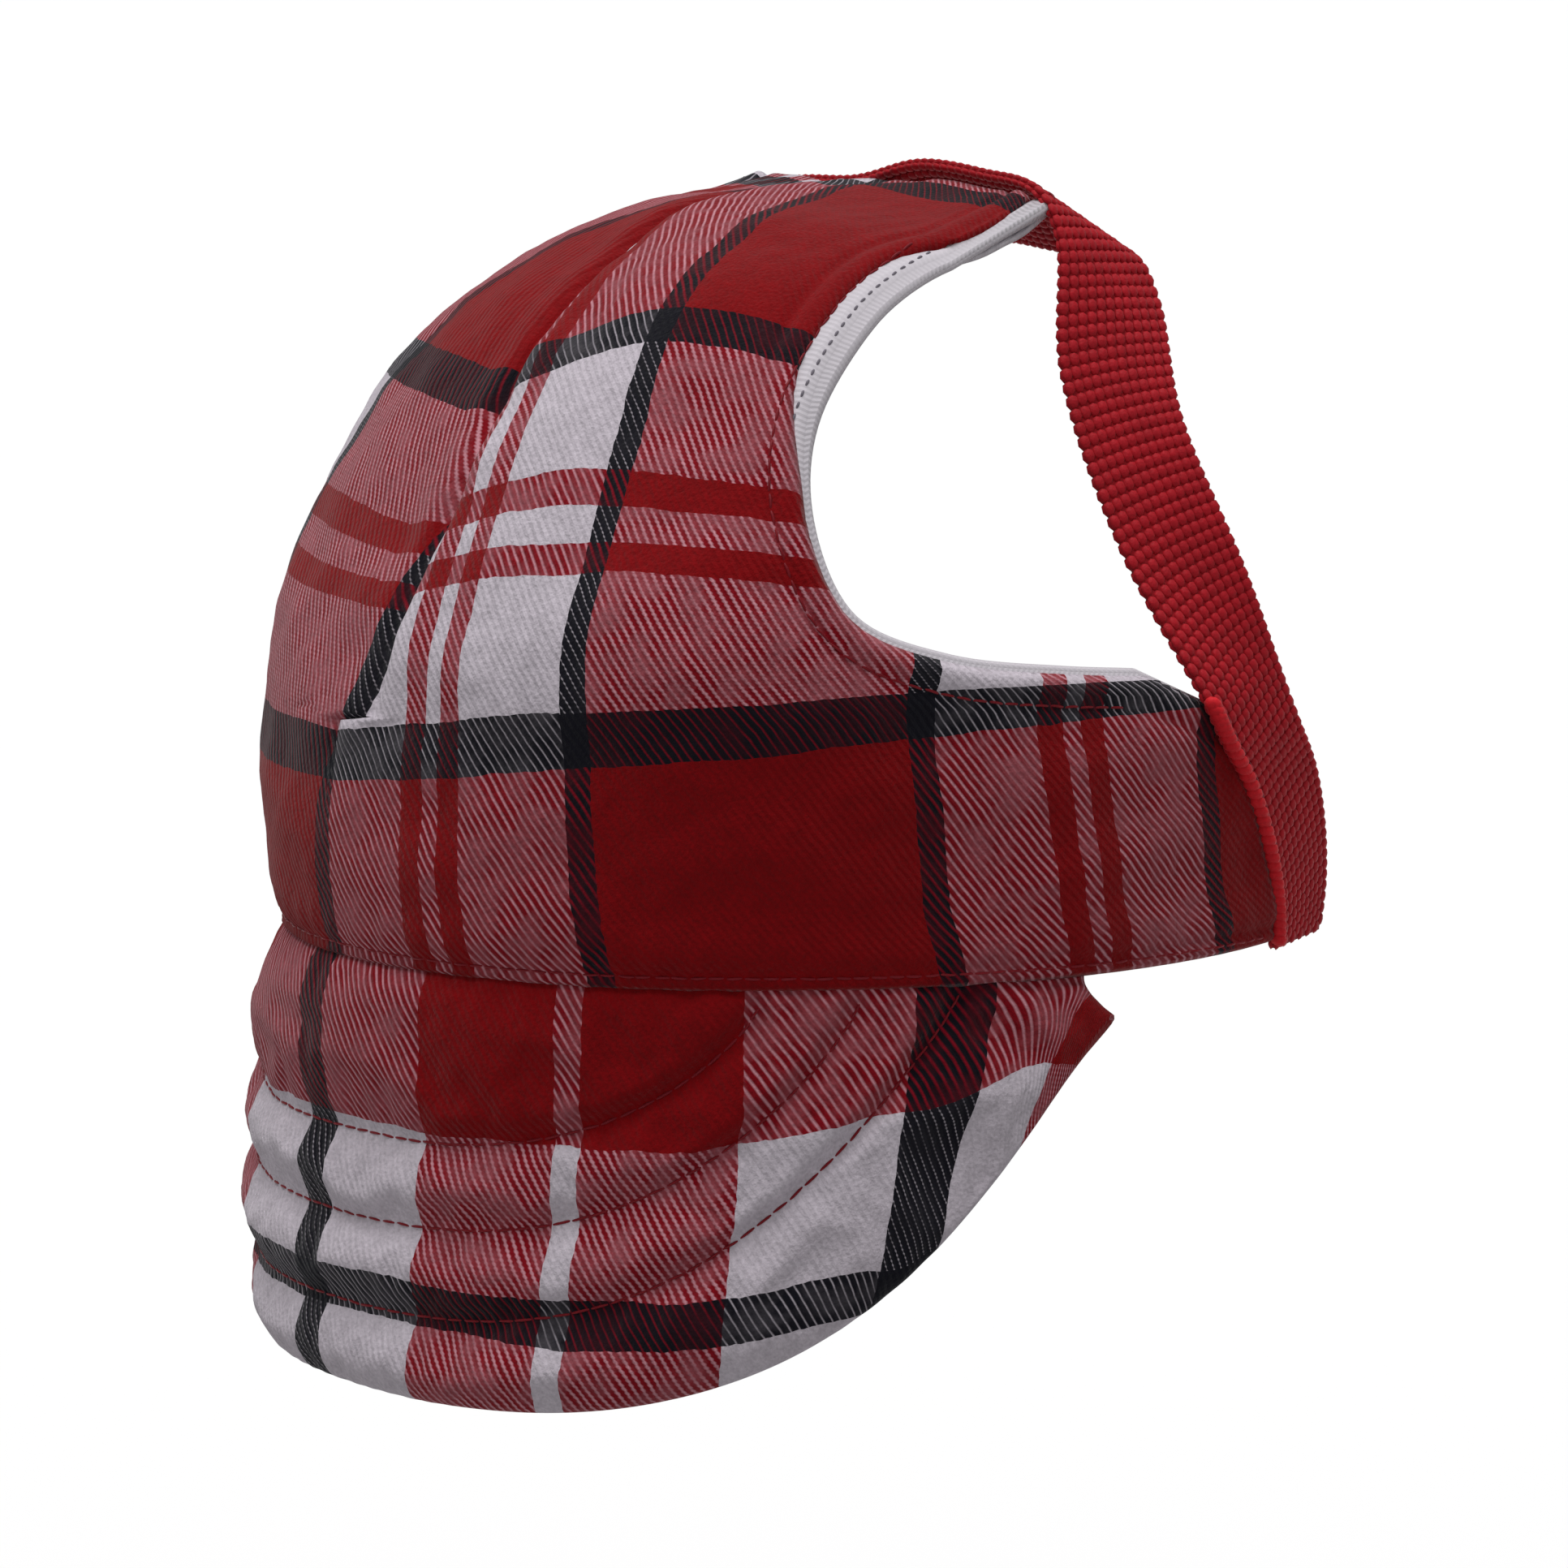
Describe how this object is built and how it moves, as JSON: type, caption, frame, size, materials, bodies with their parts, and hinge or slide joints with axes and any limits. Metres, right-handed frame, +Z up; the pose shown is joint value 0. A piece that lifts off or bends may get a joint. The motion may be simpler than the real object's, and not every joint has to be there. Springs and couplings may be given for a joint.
{
  "type": "trapper hat",
  "caption": "Soft plaid cap for a large dog with two ear openings, a quilted visor hanging from the band and a webbing strap across the back",
  "frame": {"origin": "middle of the oval head opening, level with the band's lower edge", "axes": "+Z up through the crown, -Y to the front where the visor hangs, +X to the cap's left side"},
  "size_m": [0.153, 0.1431, 0.1769],
  "materials": {
    "plaid_flannel": "brushed twill flannel in red, white and black plaid",
    "white_knit": "white cotton knit",
    "seam_tape": "white twill tape",
    "interlining": "stiff non-woven interlining",
    "foam": "thin sewable foam",
    "red_webbing": "ribbed polypropylene webbing",
    "red_thread": "polyester sewing thread"
  },
  "bodies": {
    "crown": {"crown_shell": "plaid_flannel", "crown_lining": "white_knit", "band_seam_tape": "seam_tape", "front_interlining_left": "interlining", "front_interlining_right": "interlining", "ear_binding_left": "white_knit", "ear_binding_right": "white_knit", "ear_topstitch_left": "red_thread", "ear_topstitch_right": "red_thread", "dart_seam_thread": "red_thread", "band_hem_topstitch": "red_thread", "rear_strap": "red_webbing", "strap_seam_left": "red_thread", "strap_seam_right": "red_thread", "strap_seam_crown": "red_thread"},
    "visor": {"visor_top_cover": "plaid_flannel", "visor_foam": "foam", "visor_under_cover": "plaid_flannel", "visor_quilt_row_1": "red_thread", "visor_quilt_row_2": "red_thread", "visor_quilt_row_3": "red_thread"}
  },
  "joints": [
    {"name": "visor_tilt", "type": "hinge", "parent": "crown", "child": "visor", "pos_m": [0, -0.085, -0.00015], "axis": [-1, 0, 0], "range_deg": [0, 12]}
  ]
}
